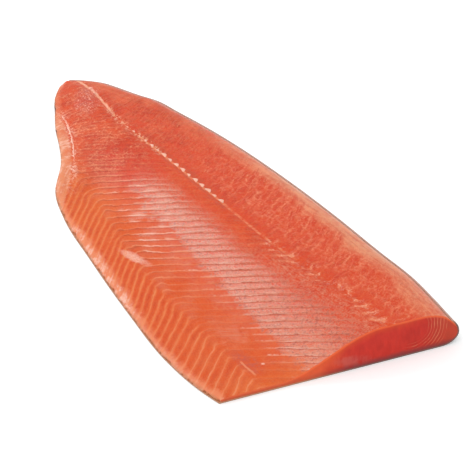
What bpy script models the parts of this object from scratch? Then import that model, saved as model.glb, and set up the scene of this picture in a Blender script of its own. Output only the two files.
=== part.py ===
"""A skin-on tail piece of a salmon side, lying skin down, as two closed solids: the flesh and the skin.

The slice is laid out with its own X along the fish, 0 where the midline meets the knife cut and the tail at
-X, +Y towards the back and +Z up. It's then moved so that the origin is on the surface that it lies on, under
the middle of its box. Sizes are in metres."""

import math
from functools import partial

import bmesh
import bpy
import numpy as np
from mathutils import Matrix

MM = 0.001

# Plan and thickness along the fish. Each station holds, in millimetres: its X, the Y of the belly edge, the
# Y of the back edge, and the thickness of the loin.
STATIONS = (
    (-370, -20, 4, 5.0),
    (-345, -31, 14.5, 8.4),
    (-318, -45, 24.5, 10.7),
    (-303, -51, 31, 11.8),
    (-282, -61, 34.8, 13.1),
    (-252, -82, 40, 14.9),
    (-225, -91, 43.5, 16.4),
    (-175, -99.5, 47.5, 18.8),
    (-115, -107.5, 49.5, 21.2),
    (-65, -112, 49.5, 22.5),
    (-32, -110, 50, 23.0),
    (-12, -106, 48, 23.2),
    (15, -98, 44.5, 23.3),
    (60, -92, 42, 23.4),
)

# The rounded tail end
TAIL_X = -0.370
NOSE = 0.025
NOSE_Y = -0.009
NOSE_START = TAIL_X + NOSE
NOSE_BLUNT = math.radians(70)
NOSE_HEIGHT = 0.0045

# The knife cut: where it meets the surface below, how far off square it is, and how far it leans back
CUT_X = 0.0077
CUT_SLANT = 0.21
CUT_LEAN = 0.16

# The stub beyond the cut, which the knife takes off
ROWS_END = 0.082
STUB_END = 0.100
KNIFE_SIZE = (0.300, 0.400, 0.120)
KNIFE_BELOW = 0.040

# The thin belly flap, its edge, and the slope that climbs from it to the loin
FLAP = 0.0032
FLAP_SHARE = 0.6
FLAP_EDGE = 0.55
FLAP_EDGE_WIDTH = 0.006
SLOPE_FOOT = -0.070
SLOPE_TOP = 0.004

# The midline: it leaves the cut, runs nearer the belly, and comes back again towards the tail
MIDLINE_Y = -0.010
MIDLINE_RUN = 0.120
MIDLINE_TAIL_Y = -0.0035
MIDLINE_TAIL_START = -0.285
MIDLINE_TAIL_RUN = 0.060

# The rounded back: its widest line and radii as shares of the loin's thickness, and their limits
BACK_WIDEST = 0.345
BACK_WIDEST_LEAST = 0.0024
BACK_UNDER = 0.52
BACK_UNDER_MOST = 0.35
BACK_OVER = 1.12
BACK_OVER_MOST = 0.42

# The skin wraps the base and the back up to its rim, and the flesh drops a little to meet it there
SKIN = 0.001
GAP = 0.0003
RIM_ANGLE = math.radians(29.6)
RIM_BLEND = 0.006

# The folded muscle segments: their pitch along the fish, and how their seams sweep back from the midline
SEGMENT = 0.0084
BELLY_ARM = 0.68
BELLY_LEG = 1.08
BACK_ARM = 0.45
BACK_CURL = 12.0
RAKE = 1.5
FOLD_Y = -0.080
FOLD_TAIL_Y = -0.062
FOLD_BEND_START = -0.110
FOLD_BEND_RUN = 0.160
FOLD_SOFTNESS = 0.005
SWEEP_FROM = -0.348
SWEEP_FULL = -0.285

# The relief that the segments make on the cut surface of the flesh
RIDGE = 0.0005
BACK_RIDGE = 0.6
RELIEF_MARGIN = 0.010
BACK_BARE = 0.006
MIDLINE_GROOVE = 0.0006
MIDLINE_GROOVE_WIDTH = 0.003

# How finely the two solids are divided
BELLY_COLUMNS = 19
BACK_COLUMNS = 11
WALL_COLUMNS = 5
BASE_COLUMNS = 4
RIM_COLUMNS = 3
NOSE_ROWS = 6
SEARCH_STEPS = 40
SHARP = math.radians(40)

FLESH_COLOUR = (0.76, 0.19, 0.085, 1.0)
FLESH_ROUGHNESS = 0.35
SKIN_COLOUR = (0.20, 0.21, 0.20, 1.0)
SKIN_ROUGHNESS = 0.3


def ease(t):
    t = np.clip(t, 0.0, 1.0)
    return t * t * (3.0 - 2.0 * t)


def along(x, column):
    """A smooth curve through one column of the stations, read at X."""
    table = np.array(STATIONS, dtype=float) * MM
    places = table[:, 0]
    values = table[:, column]
    slopes = np.gradient(values, places)
    x = np.clip(x, places[0], places[-1])
    i = np.clip(np.searchsorted(places, x) - 1, 0, len(places) - 2)
    span = places[i + 1] - places[i]
    t = (x - places[i]) / span
    start = (2 * t**3 - 3 * t**2 + 1) * values[i] + (t**3 - 2 * t**2 + t) * span * slopes[i]
    end = (3 * t**2 - 2 * t**3) * values[i + 1] + (t**3 - t**2) * span * slopes[i + 1]
    return start + end


def nose(x):
    """The elliptical rounding of the tail end: 1 along the body and 0 at the tip."""
    reach = np.clip((NOSE_START - x) / NOSE, 0.0, 1.0)
    return np.sqrt(1.0 - reach**2)


def belly_edge(x):
    return NOSE_Y + (along(x, 1) - NOSE_Y) * nose(x)


def back_edge(x):
    return NOSE_Y + (along(x, 2) - NOSE_Y) * nose(x)


def loin_height(x):
    return NOSE_HEIGHT + (along(x, 3) - NOSE_HEIGHT) * nose(x)


def midline(x):
    """The Y of the line that the backbone left."""
    body = MIDLINE_Y * ease(-x / MIDLINE_RUN)
    tail = ease((MIDLINE_TAIL_START - x) / MIDLINE_TAIL_RUN)
    return body + (MIDLINE_TAIL_Y - MIDLINE_Y) * tail


def fold_line(x):
    """The Y at which the seams of the belly turn back towards the cut."""
    return FOLD_Y + (FOLD_TAIL_Y - FOLD_Y) * ease((FOLD_BEND_START - x) / FOLD_BEND_RUN)


def back_radii(x):
    """The Z of the back's widest line, and the widths of its curves under and over that line."""
    height = loin_height(x)
    width = back_edge(x) - belly_edge(x)
    widest = np.maximum(BACK_WIDEST * height, BACK_WIDEST_LEAST)
    under = np.minimum(BACK_UNDER * height, BACK_UNDER_MOST * width)
    over = np.minimum(BACK_OVER * height, BACK_OVER_MOST * width)
    return widest, under, over


def under_point(x, angle, inset):
    """A point under the back's widest line: the angle is 0 at the base and a right angle at that line."""
    widest, under, _ = back_radii(x)
    y = back_edge(x) - under + (under - inset) * np.sin(angle)
    return y, widest - (widest - inset) * np.cos(angle)


def over_point(x, angle, inset):
    """A point over the back's widest line, at this angle above it."""
    widest, _, over = back_radii(x)
    y = back_edge(x) - over + (over - inset) * np.cos(angle)
    return y, widest + (loin_height(x) - widest - inset) * np.sin(angle)


def rounding(x, y):
    """How far the upper surface has dropped below the loin's thickness as it rounds over the back."""
    widest, _, over = back_radii(x)
    reach = np.clip((y - (back_edge(x) - over)) / over, 0.0, 0.9999)
    return (loin_height(x) - widest) * (1 - np.sqrt(1 - reach**2))


def top_height(x, y):
    """The height of the flesh's upper surface, without its relief."""
    height = loin_height(x)
    start = belly_edge(x)
    inward = np.sqrt(np.clip((y - start) / FLAP_EDGE_WIDTH, 0.0, 1.0))
    flap = np.minimum(FLAP, FLAP_SHARE * height) * (FLAP_EDGE + (1 - FLAP_EDGE) * inward)
    foot = np.maximum(start + MM, SLOPE_FOOT)
    top = np.maximum(midline(x), foot + 2 * SLOPE_TOP) - SLOPE_TOP
    rise = ease((y - foot) / (top - foot))
    rim_y, rim_z = over_point(x, RIM_ANGLE, SKIN + GAP)
    rim_drop = height - rounding(x, rim_y) - rim_z
    blend = ease((y - (rim_y - RIM_BLEND)) / RIM_BLEND)
    return flap * (1 - rise) + height * rise - rounding(x, y) - rim_drop * blend


def sweep(x, y):
    """How far a segment's seam lies along X from where it crosses the midline. The seams rake back with
    depth, so they also sweep towards the tail where the surface falls away from the loin."""
    middle = midline(x)
    height = loin_height(x)
    y = np.minimum(y, np.maximum(back_edge(x) - BACK_UNDER * height, middle + MM))
    past = fold_line(x) - y
    turned = 0.5 * (past + np.sqrt(past**2 + FOLD_SOFTNESS**2))
    belly = -BELLY_ARM * (middle - y) + (BELLY_ARM + BELLY_LEG) * turned
    back = -(BACK_ARM * (y - middle) + BACK_CURL * (y - middle) ** 2)
    strength = ease((x - SWEEP_FROM) / (SWEEP_FULL - SWEEP_FROM))
    return strength * (np.where(y < middle, belly, back) - RAKE * (height - top_height(x, y)))


def relief(x, y, ridge):
    """The height that a segment's crest adds over its seam, less the groove along the midline."""
    off = y - midline(x)
    belly_margin = ease((y - belly_edge(x)) / RELIEF_MARGIN)
    back_margin = ease((back_edge(x) - BACK_BARE - y) / RELIEF_MARGIN)
    strength = np.where(off > 0, BACK_RIDGE, 1.0) * belly_margin * back_margin
    groove = MIDLINE_GROOVE * np.exp(-((off / MIDLINE_GROOVE_WIDTH) ** 2))
    return (ridge * strength - groove) * nose(x)


def belly_point(x, share):
    """A point of the upper surface, this share of the way from the belly edge to the midline."""
    y = belly_edge(x) + (midline(x) - belly_edge(x)) * share
    return y, top_height(x, y)


def back_point(x, share):
    """A point of the upper surface, this share of the way from the midline to the skin's rim."""
    rim_y, _ = over_point(x, RIM_ANGLE, SKIN + GAP)
    y = midline(x) + (rim_y - midline(x)) * share
    return y, top_height(x, y)


def base_point(x, share, inset):
    """A point of the flat base, this share of the way from the belly edge to the rounded back."""
    y_wall, z_wall = under_point(x, 0.0, inset)
    return belly_edge(x) + (y_wall - belly_edge(x)) * share, z_wall


def wrap(inset):
    """The outline from the belly edge along the base and up the back to the skin's rim, as functions of X."""
    base = [partial(base_point, share=i / BASE_COLUMNS, inset=inset) for i in range(BASE_COLUMNS)]
    turns = np.linspace(0, math.pi / 2, WALL_COLUMNS, endpoint=False)
    under = [partial(under_point, angle=turn, inset=inset) for turn in turns]
    turns = np.linspace(0, RIM_ANGLE, RIM_COLUMNS)
    over = [partial(over_point, angle=turn, inset=inset) for turn in turns]
    return base + under + over


def flesh_outline():
    """Over the top from the belly to the back, then down and under to the belly."""
    belly = [partial(belly_point, share=i / BELLY_COLUMNS) for i in range(BELLY_COLUMNS)]
    back = [partial(back_point, share=i / BACK_COLUMNS) for i in range(BACK_COLUMNS)]
    return belly + back + wrap(SKIN + GAP)[::-1]


def skin_outline():
    """Along the inner face from the belly to the rim, then back along the outer face."""
    return wrap(SKIN) + wrap(0.0)[::-1]


def rows_of(outline, spacing):
    """Rings of points that follow the segments' seams. They're close together round the nose, and a last
    square ring lies past the cut."""
    columns = len(outline)
    turns = np.linspace(NOSE_BLUNT, 0, NOSE_ROWS, endpoint=False)
    tip = NOSE_START - NOSE * np.sin(turns)
    places = np.concatenate([tip, np.arange(NOSE_START, ROWS_END, spacing)])
    place = np.repeat(places[:, None], columns, axis=1)

    def section(x):
        points = [point(x[:, column]) for column, point in enumerate(outline)]
        return [np.stack(values, axis=1) for values in zip(*points)]

    low = np.full_like(place, TAIL_X)
    high = np.full_like(place, STUB_END)
    for _ in range(SEARCH_STEPS):
        x = 0.5 * (low + high)
        past = x - sweep(x, section(x)[0]) > place
        high = np.where(past, x, high)
        low = np.where(past, low, x)
    x[:NOSE_ROWS] = place[:NOSE_ROWS]
    x = np.vstack([x, np.full(columns, STUB_END)])
    return np.stack([x, *section(x)], axis=2)


def flesh_rows():
    """The flesh's rings, two for each segment, with every other one lifted into a crest."""
    points = rows_of(flesh_outline(), SEGMENT / 2)
    top = points[:, : BELLY_COLUMNS + BACK_COLUMNS]
    crest = np.zeros(len(points))
    crest[NOSE_ROWS + 1 : -1 : 2] = RIDGE
    top[:, :, 2] += relief(top[:, :, 0], top[:, :, 1], crest[:, None])
    return points


def centre():
    """The move that brings the middle of the slice's box over the origin."""
    x = np.linspace(TAIL_X, CUT_X, 400)
    y = (back_edge(x).max() + belly_edge(x).min()) / 2
    corner_y, corner_z = over_point(CUT_X, 0.0, 0.0)
    corner = CUT_X + CUT_SLANT * corner_y - CUT_LEAN * corner_z
    tip = NOSE_START - NOSE * math.sin(NOSE_BLUNT)
    return Matrix.Translation((-(tip + corner) / 2, -y, 0))


def material(name, colour, roughness):
    made = bpy.data.materials.new(name)
    made.use_nodes = True
    shader = made.node_tree.nodes["Principled BSDF"]
    shader.inputs["Base Color"].default_value = colour
    shader.inputs["Roughness"].default_value = roughness
    shader.inputs["Metallic"].default_value = 0.0
    made.diffuse_color = colour
    return made


def body(name, points, finish):
    """A closed solid through the rings, capped at both ends."""
    shape = bmesh.new()
    rings = [[shape.verts.new(point) for point in ring] for ring in points]
    for ring, after in zip(rings, rings[1:]):
        for j in range(len(ring)):
            k = (j + 1) % len(ring)
            shape.faces.new((ring[j], ring[k], after[k], after[j]))
    shape.faces.new(rings[0])
    shape.faces.new(rings[-1])
    bmesh.ops.recalc_face_normals(shape, faces=shape.faces)
    mesh = bpy.data.meshes.new(name)
    shape.to_mesh(mesh)
    shape.free()
    mesh.shade_smooth()
    mesh.set_sharp_from_angle(angle=SHARP)
    mesh.materials.append(finish)
    made = bpy.data.objects.new(name, mesh)
    bpy.context.collection.objects.link(made)
    return made


def knife():
    """The block that takes the stub off at the cut. It isn't part of the slice."""
    length, width, height = KNIFE_SIZE
    turn = Matrix.Rotation(-math.atan(CUT_SLANT), 4, "Z") @ Matrix.Rotation(-math.atan(CUT_LEAN), 4, "Y")
    middle = Matrix.Translation((length / 2, 0, height / 2 - KNIFE_BELOW))
    place = Matrix.Translation((CUT_X, 0, 0)) @ turn @ middle
    shape = bmesh.new()
    bmesh.ops.create_cube(shape, size=1.0, matrix=place @ Matrix.Diagonal((length, width, height, 1)))
    mesh = bpy.data.meshes.new("knife")
    shape.to_mesh(mesh)
    shape.free()
    made = bpy.data.objects.new("knife", mesh)
    bpy.context.collection.objects.link(made)
    made.hide_render = True
    made.display_type = "WIRE"
    return made


def main():
    for old in list(bpy.data.objects):
        bpy.data.objects.remove(old, do_unlink=True)
    flesh = body("flesh", flesh_rows(), material("flesh", FLESH_COLOUR, FLESH_ROUGHNESS))
    skin = body("skin", rows_of(skin_outline(), SEGMENT), material("skin", SKIN_COLOUR, SKIN_ROUGHNESS))
    blade = knife()
    for solid in (flesh, skin):
        cut = solid.modifiers.new("cut", "BOOLEAN")
        cut.operation = "DIFFERENCE"
        cut.solver = "EXACT"
        cut.object = blade
    for made in (flesh, skin, blade):
        made.matrix_world = centre()


main()
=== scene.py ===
import math
from functools import partial
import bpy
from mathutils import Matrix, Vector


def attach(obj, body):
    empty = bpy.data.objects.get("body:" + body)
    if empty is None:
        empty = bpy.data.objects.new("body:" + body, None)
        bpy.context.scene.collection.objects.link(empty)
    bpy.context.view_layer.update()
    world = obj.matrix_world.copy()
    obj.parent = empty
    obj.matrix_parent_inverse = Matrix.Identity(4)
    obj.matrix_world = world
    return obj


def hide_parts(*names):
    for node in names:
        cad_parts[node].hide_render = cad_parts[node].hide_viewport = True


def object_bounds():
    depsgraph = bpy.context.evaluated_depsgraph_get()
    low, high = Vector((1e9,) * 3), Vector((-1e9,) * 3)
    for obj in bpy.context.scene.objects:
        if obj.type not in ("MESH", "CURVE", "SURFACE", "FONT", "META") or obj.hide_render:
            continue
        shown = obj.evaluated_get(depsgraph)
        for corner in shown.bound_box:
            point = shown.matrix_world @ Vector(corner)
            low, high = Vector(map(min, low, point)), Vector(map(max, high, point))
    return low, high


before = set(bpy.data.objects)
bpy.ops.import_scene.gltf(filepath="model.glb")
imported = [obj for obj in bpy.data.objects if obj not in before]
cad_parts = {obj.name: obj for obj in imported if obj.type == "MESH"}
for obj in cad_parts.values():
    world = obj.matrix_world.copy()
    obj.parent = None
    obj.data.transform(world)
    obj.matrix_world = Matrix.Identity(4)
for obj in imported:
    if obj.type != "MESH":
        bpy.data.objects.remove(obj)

from types import SimpleNamespace

import bmesh
import bpy
import numpy as np
from bpy.props import FloatProperty, FloatVectorProperty, IntProperty, PointerProperty
from bpy.types import Operator, Panel, PropertyGroup
from mathutils import Vector

bl_info = {
    "name": "Salmon slice",
    "version": (1, 0, 0),
    "blender": (4, 5, 0),
    "location": "3D View > Sidebar > Salmon",
    "description": "Dresses a skin-on tail piece of salmon with moist flesh, pin-bone ends and scaly skin",
    "category": "Object",
}

MM = 0.001
CAD_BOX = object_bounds()

# The slice is laid out with X along the fish, 0 where the midline meets the knife cut and the tail at -X, and
# +Y towards the back. Plan and thickness, in millimetres: X, belly edge, back edge, thickness of the loin.
STATIONS = (
    (-370, -20, 4, 5.0),
    (-345, -31, 14.5, 8.4),
    (-318, -45, 24.5, 10.7),
    (-303, -51, 31, 11.8),
    (-282, -61, 34.8, 13.1),
    (-252, -82, 40, 14.9),
    (-225, -91, 43.5, 16.4),
    (-175, -99.5, 47.5, 18.8),
    (-115, -107.5, 49.5, 21.2),
    (-65, -112, 49.5, 22.5),
    (-32, -110, 50, 23.0),
    (-12, -106, 48, 23.2),
    (15, -98, 44.5, 23.3),
    (60, -92, 42, 23.4),
)

# The rounded tail end, drawn a little rounder than the solid's but no longer
TAIL_X = -0.370
NOSE_START = -0.345
NOSE = 0.024
NOSE_Y = -0.009
NOSE_BLUNT = math.radians(74)
NOSE_HEIGHT = 0.0045
NOSE_CAP_SHARE = 0.6
NOSE_CAP_PUSH = 0.00035

# The knife cut: where it meets the surface below, how far off square it is, how far it leans back, and an X
# that is past all of it
CUT_X = 0.0077
CUT_SLANT = 0.21
CUT_LEAN = 0.16
ROWS_END = 0.104

# The thin belly flap, its edge, and the slope that climbs from it to the loin
FLAP = 0.0032
FLAP_SHARE = 0.6
FLAP_EDGE = 0.55
FLAP_EDGE_WIDTH = 0.006
SLOPE_FOOT = -0.070
SLOPE_TOP = 0.004

# The waves by which the belly edge is worn back: share, length and shift
WORN_WAVES = ((0.5, 0.019, 0.0), (0.45, 0.0058, 0.3), (0.3, 0.0033, 0.0))
WORN_LEVEL = 0.35
WORN_MOST = 1.3

# The midline: it leaves the cut, runs nearer the belly, and comes back again towards the tail
MIDLINE_Y = -0.010
MIDLINE_RUN = 0.120
MIDLINE_TAIL_Y = -0.0035
MIDLINE_TAIL_START = -0.285
MIDLINE_TAIL_RUN = 0.060

# The rounded back: the height of its widest line and the widths of its curves under and over that line, as
# shares of the loin's thickness, each with its least height or its most as a share of the piece's width
BACK_WIDEST = 0.345
BACK_WIDEST_LEAST = 0.0024
BACK_UNDER = 0.52
BACK_UNDER_MOST = 0.35
BACK_OVER = 1.12
BACK_OVER_MOST = 0.42
ROUNDING_REACH = 0.9999

# The skin's thickness, the gap between it and the flesh, and how far it stays inside its solid
SKIN = 0.001
GAP = 0.00005
TRIM = 0.00005

# The skin's rim on the back, as an angle above the widest line, and the strip in which the flesh meets it
RIM_ANGLE = math.radians(29.6)
RIM_BLEND = 0.006

# A point is on the skin's outside when it lies under this share of the skin's thickness, or when the square
# of its reach over the back's curve is past this. The reach counts up to the last value.
BASE_SKIN = 0.4
OUTSIDE = 0.97
REACH_MOST = 1.2

# How the seams of the folded segments sweep back from the midline
BELLY_ARM = 0.74
BELLY_LEG = 0.95
TAIL_LEG = 1.45
TAIL_LEG_START = -0.055
TAIL_LEG_RUN = 0.085
BACK_ARM = 0.28
BACK_CURL = 6.5
RAKE = 1.5
FOLD_Y = -0.080
FOLD_TAIL_Y = -0.062
FOLD_BEND_START = -0.110
FOLD_BEND_RUN = 0.160
FOLD_SOFTNESS = 0.003
SWEEP_FROM = -0.348
SWEEP_FULL = -0.285

# The segments' relief: where it shows, the waves by which the seams stray, and the crests' shape. The crests
# are full on the inner belly wall, off the flap, the midline and the tail, each with a start and a run.
BASE_CLEAR = 0.0003
BASE_FADE = 0.0004
RELIEF_MARGIN = 0.010
BACK_BARE = 0.006
STRAY_LONG = 0.023
STRAY_SHORT = 0.009
WALL_FROM_FLAP = (-0.060, 0.012)
WALL_FROM_MIDLINE = (0.012, 0.012)
WALL_FROM_TAIL = (-0.26, 0.05)
RIDGE_LEAST = 0.3
CREST_LEAN = 1.4
CREST_FLATNESS = 7.0
GRAIN_SCALE = 190.0
GROOVE_WIDTH = 0.0022

# How finely the pieces are divided
ROWS_A_SEGMENT = 12
BELLY_COLUMNS = 66
BACK_COLUMNS = 46
BASE_COLUMNS = 10
WALL_COLUMNS = 8
RIM_COLUMNS = 4
SKIN_COLUMNS = (26, 10, 6)
SKIN_ROW = 0.002
NOSE_ROWS = 12
CUT_DEPTHS = (0.0004, 0.0009, 0.0016, 0.0026, 0.0042, 0.0066, 0.010, 0.015)
CUT_ROOM = 0.85
SEARCH_STEPS = 26
PROFILE_POINTS = 2400
EDGE_POINTS = 400

# Lengths that count as nothing, and the least bend that stays a sharp edge
SAME = 1e-7
MERGED = 1e-6
ON_SURFACE = 1e-5
SHARP = math.radians(38)

# The pin bones' ends are wedges that taper towards the cut, their wide end leaning over to the back. Each is
# made from a ball. Its size follows the X and share of the sizes, and varies, like its turn, within limits.
FLECK_RADIUS = 0.5
FLECK_TAPER = 0.65
FLECK_LEAN = 0.35
FLECK_SHIFT = 0.06
FLECK_FLATNESS = 0.26
FLECK_THIN_END = 0.75
FLECK_WIDTH = 0.62
FLECK_HEIGHT = 0.6
FLECK_SIZES = ((-0.302, 0.25), (-0.272, 0.42), (-0.250, 0.72), (-0.226, 0.9), (-0.162, 0.9))
FLECK_LEAST = 0.62
FLECK_MOST = 1.12
FLECK_TURN_LEAST = (-0.10, -0.05, -0.24)
FLECK_TURN_MOST = (0.10, 0.05, 0.20)
FLECK_SUNK = 0.4
FLECK_PATH_POINTS = 120

# The gloss of wet surfaces, the light that goes a little way into flesh, and the depths of the fine bumps
WET = {"IOR": 1.38, "Specular IOR Level": 0.3}
SOFT = {"Subsurface Weight": 0.12, "Subsurface Radius": (1.0, 0.30, 0.14), "Subsurface Scale": 0.002}
FLESH_BUMP = 0.00020
CUT_BUMP = 0.00012
SKIN_BUMP = 0.00012
FLECK_BUMP = 0.0001

# Unevenness of the flesh, from coarse to fine: scale, detail and roughness of its noise
UNEVENNESS = {
    "broad": (28.0, 3.0, 0.5),
    "patches": (75.0, 1.0, 0.5),
    "mottle": (150.0, 3.0, 0.5),
    "grain": (430.0, 1.0, 0.8),
    "speckle": (850.0, 1.0, 0.8),
}

# Scales of the drawn-out noise. Streaks and threads run with the seams, and the lines in the fat run along
# the back. The net's cells are longer across the fish than along it.
STREAKS = (1000.0, 150.0, 1.0)
THREADS = (420.0, 90.0, 1.0)
FAT_LINES = (50.0, 330.0, 1.0)
NET_ALONG = 215.0
NET_ACROSS = 95.0

# Stretches of the fish in which marks show. Each end is the X where a mark is gone, and where it is full.
STRETCHES = {
    "by the cut": [(-0.110, -0.030)],
    "by the tail": [(-0.215, -0.260)],
    "body": [(-0.300, -0.245)],
    "film_and_sheen": [(-0.220, -0.178)],
    "torn film": [(-0.228, -0.205), (-0.160, -0.180)],
    "veil": [(-0.130, -0.070)],
    "ochre by the tail": [(-0.150, -0.230)],
    "ochre by the cut": [(-0.035, -0.010)],
    "deep red": [(-0.115, -0.050)],
    "fine seams": [(-0.085, -0.130)],
    "dark lines": [(-0.120, -0.160)],
    "white lines": [(-0.236, -0.216), (-0.140, -0.165)],
    "thick back": [(-0.245, -0.165)],
    "fat": [(-0.250, -0.150)],
    "less fat": [(-0.060, -0.015)],
    "wide rim": [(-0.222, -0.200), (-0.095, -0.125)],
    "clear rim": [(-0.295, -0.255)],
    "tail rim": [(-0.262, -0.285)],
    "dark edge": [(-0.190, -0.230)],
    "strand": [(-0.275, -0.245), (-0.150, -0.158)],
    "weak strand": [(-0.310, -0.295), (-0.225, -0.245)],
    "thin strand": [(-0.156, -0.150), (-0.072, -0.092)],
    "tail line": [(-0.298, -0.308)],
    "white bits": [(-0.318, -0.306), (-0.225, -0.245)],
    "dashes": [(-0.118, -0.095)],
    "tail margin": [(-0.335, -0.320)],
    "streak start": [(-0.334, -0.312)],
    "streak end": [(-0.268, -0.285)],
    "streak fuzz": [(-0.350, -0.325), (-0.238, -0.262)],
}

# Oval marks on the plan: X, Y, half the length, half the width, and the turn from X towards Y
RED_PATCH = (-0.241, -0.034, 0.036, 0.022, 0.2)
TAIL_SPOT = (-0.330, -0.0125, 0.020, 0.0090, -0.5)
TORN_PATCH = (-0.159, -0.0765, 0.0128, 0.0036, 0.3)
SMUDGE = (-0.061, -0.0685, 0.0125, 0.0085, 0.0)
BRUISE = (-0.034, -0.0750, 0.013, 0.0060, 0.15)
CORNER_DOT = (-0.0275, -0.0677, 0.0012, 0.0009, 0.9)

# The film's edge, the white streak by the tail, which curves, and the pale line by the corner
FILM_EDGE = -0.0555
FILM_SLANT = 0.05
STREAK_X = -0.320
STREAK_Y = -0.0358
STREAK_SLOPE = 0.27
STREAK_CURVE = 3.4
CORNER_LINE_X = -0.029
CORNER_LINE_Y = -0.0775

# On the cut face, by Y and Z: an oval smear, and the centre of the faint rings and the step between them
SMEAR = (-0.022, 0.0050, 0.012, 0.0040, -0.2)
RING_CENTRE = (0.014, 0.018)
RING_PITCH = 0.0020

# Tints by which a colour is darkened
STROKE_TINT = (0.76, 0.40, 0.34)
SPECK_TINT = (0.66, 0.34, 0.27)
BETWEEN_TINT = (0.92, 0.66, 0.50)
PAST_TINT = (0.76, 0.58, 0.50)
LINE_TINT = (0.84, 0.50, 0.42)
TAIL_TINT = (0.86, 0.64, 0.44)
CUT_TINT = (0.80, 0.66, 0.66)
SCALE_TINT = (0.70, 0.72, 0.72)
SCALE_RIM_TINT = (0.45, 0.46, 0.45)

# The stage: the floor, each soft light's place and size, and the camera's sensor in millimetres
FLOOR_SIZE = 6.0
FLOOR_Z = -0.0002
KEY_PLACE = Vector((0.1, -0.3, 2.2))
KEY_SIZE = (1.8, 1.8)
BACK_LIGHT_PLACE = Vector((-0.675, -0.177, 0.715)) * 1.3
BACK_LIGHT_SIZE = (0.55, 0.45)
SENSOR_WIDTH = 36.0
CLIP_START = 0.05


def length_setting(name, description, default, least=0.0):
    return FloatProperty(name=name, description=description, default=default, min=least, unit="LENGTH")


def angle_setting(name, description, degrees):
    return FloatProperty(name=name, description=description, default=math.radians(degrees), subtype="ANGLE")


def strength_setting(name, description, default):
    return FloatProperty(name=name, description=description, default=default, min=0.0)


def colour(name, description, default):
    return FloatVectorProperty(
        name=name, description=description, default=default, subtype="COLOR", size=3, min=0.0, max=1.0
    )


class SalmonSizes(PropertyGroup):
    """Lengths that shape the slice's fine surface."""

    segment: length_setting("Segment", "Length of a muscle segment along the fish", 0.0084, 0.004)
    ridge: length_setting("Ridge", "Height of a segment's crest over its seams", 0.00045)
    wander: length_setting("Seam wander", "How far a seam strays from its line", 0.0005)
    grain: length_setting("Grain", "Height of the flesh's fine unevenness", 0.00016)
    groove: length_setting("Midline groove", "Depth of the groove on the midline", 0.0006)
    ragged: length_setting("Ragged edge", "How far the belly edge is worn back", 0.0014)
    fleck: length_setting("Pin-bone end", "Length of a pin bone's pale end", 0.0064, 0.001)
    fleck_pitch: length_setting("Pin-bone spacing", "Distance from one end to the next", 0.0074, 0.002)
    scale: length_setting("Scale", "Width of a scale of the skin", 0.0024, 0.001)
    seed: IntProperty(name="Seed", description="Seed of every random draw", default=7)


class SalmonColours(PropertyGroup):
    """Colours of the slice's finishes."""

    flap: colour("Belly flap", "Orange flesh of the belly flap", (0.70, 0.078, 0.010))
    loin: colour("Loin", "Redder flesh by the midline", (0.66, 0.059, 0.009))
    back: colour("Back", "Red flesh over the back", (0.66, 0.057, 0.014))
    ochre: colour("Ochre", "Yellower flesh of the flap by the tail", (0.72, 0.120, 0.018))
    deep: colour("Deep red", "Deepest red of the loin", (0.62, 0.034, 0.012))
    band: colour("Band of fat", "Paler fat along the back edge", (0.75, 0.31, 0.16))
    seam: colour("Seam", "Orange seams between segments", (0.80, 0.23, 0.070))
    pale_seam: colour("Pale seam", "Palest seams and lines", (0.84, 0.29, 0.14))
    vein: colour("Vein", "Pale net over the back", (0.84, 0.25, 0.13))
    # Film: the thin membrane's own pink, and also a painted sheen over the belly wall
    film_and_sheen: colour("Film", "Thin pink film on the inside of the belly wall", (0.75, 0.31, 0.205))
    # Groove: painted shade, down in the film's seams and beside the midline's strand
    groove: colour("Groove", "Dark line down in a seam", (0.54, 0.074, 0.026))
    # White: white tissue, and also painted highlights on the film's lips and on the crests by its edge
    white: colour("White", "White tissue of edges, streaks and pin bones", (0.92, 0.52, 0.40))
    bruise: colour("Bruise", "Grey-purple marks", (0.50, 0.10, 0.080))
    cut: colour("Cut face", "Deep red flesh inside", (0.62, 0.028, 0.014))
    cut_flap: colour("Cut flap", "Orange cut edge of the belly flap", (0.78, 0.115, 0.030))
    cut_back: colour("Cut back", "Browner red of the cut by the back", (0.47, 0.075, 0.026))
    smear: colour("Smear", "Greyish smear on the cut face", (0.44, 0.20, 0.17))
    # Cut rim: a painted glow, where light comes through the thin upper edge of the cut
    cut_rim_glow: colour("Cut rim", "Bright edge of the cut face", (0.86, 0.15, 0.040))
    # Cut foot: painted shade along the foot of the cut, where it meets the floor
    cut_foot_shade: colour("Cut foot", "Dark red along the foot of the cut face", (0.20, 0.036, 0.036))
    skin_back: colour("Skin, back", "Dark olive-grey skin of the back", (0.075, 0.085, 0.075))
    skin_side: colour("Skin, side", "Silver-grey skin of the side", (0.34, 0.35, 0.34))
    skin_belly: colour("Skin, belly", "Silver-white skin of the belly", (0.66, 0.65, 0.62))
    skin_spot: colour("Skin, spots", "Dark spots high on the skin", (0.03, 0.03, 0.03))
    skin_edge: colour("Skin, edge", "Edge of the skin under the belly", (0.46, 0.20, 0.10))
    skin_rim: colour("Skin, rim", "Thin upper edge of the skin on the back", (0.42, 0.17, 0.10))
    # Skin, foot: the skin's own dark edge with painted shade, under the thick of the cut
    skin_foot_shade: colour("Skin, foot", "Edge of the skin under the thick of the cut", (0.20, 0.085, 0.07))
    floor: colour("Floor", "Plain pale floor", (0.97, 0.97, 0.97))


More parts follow.
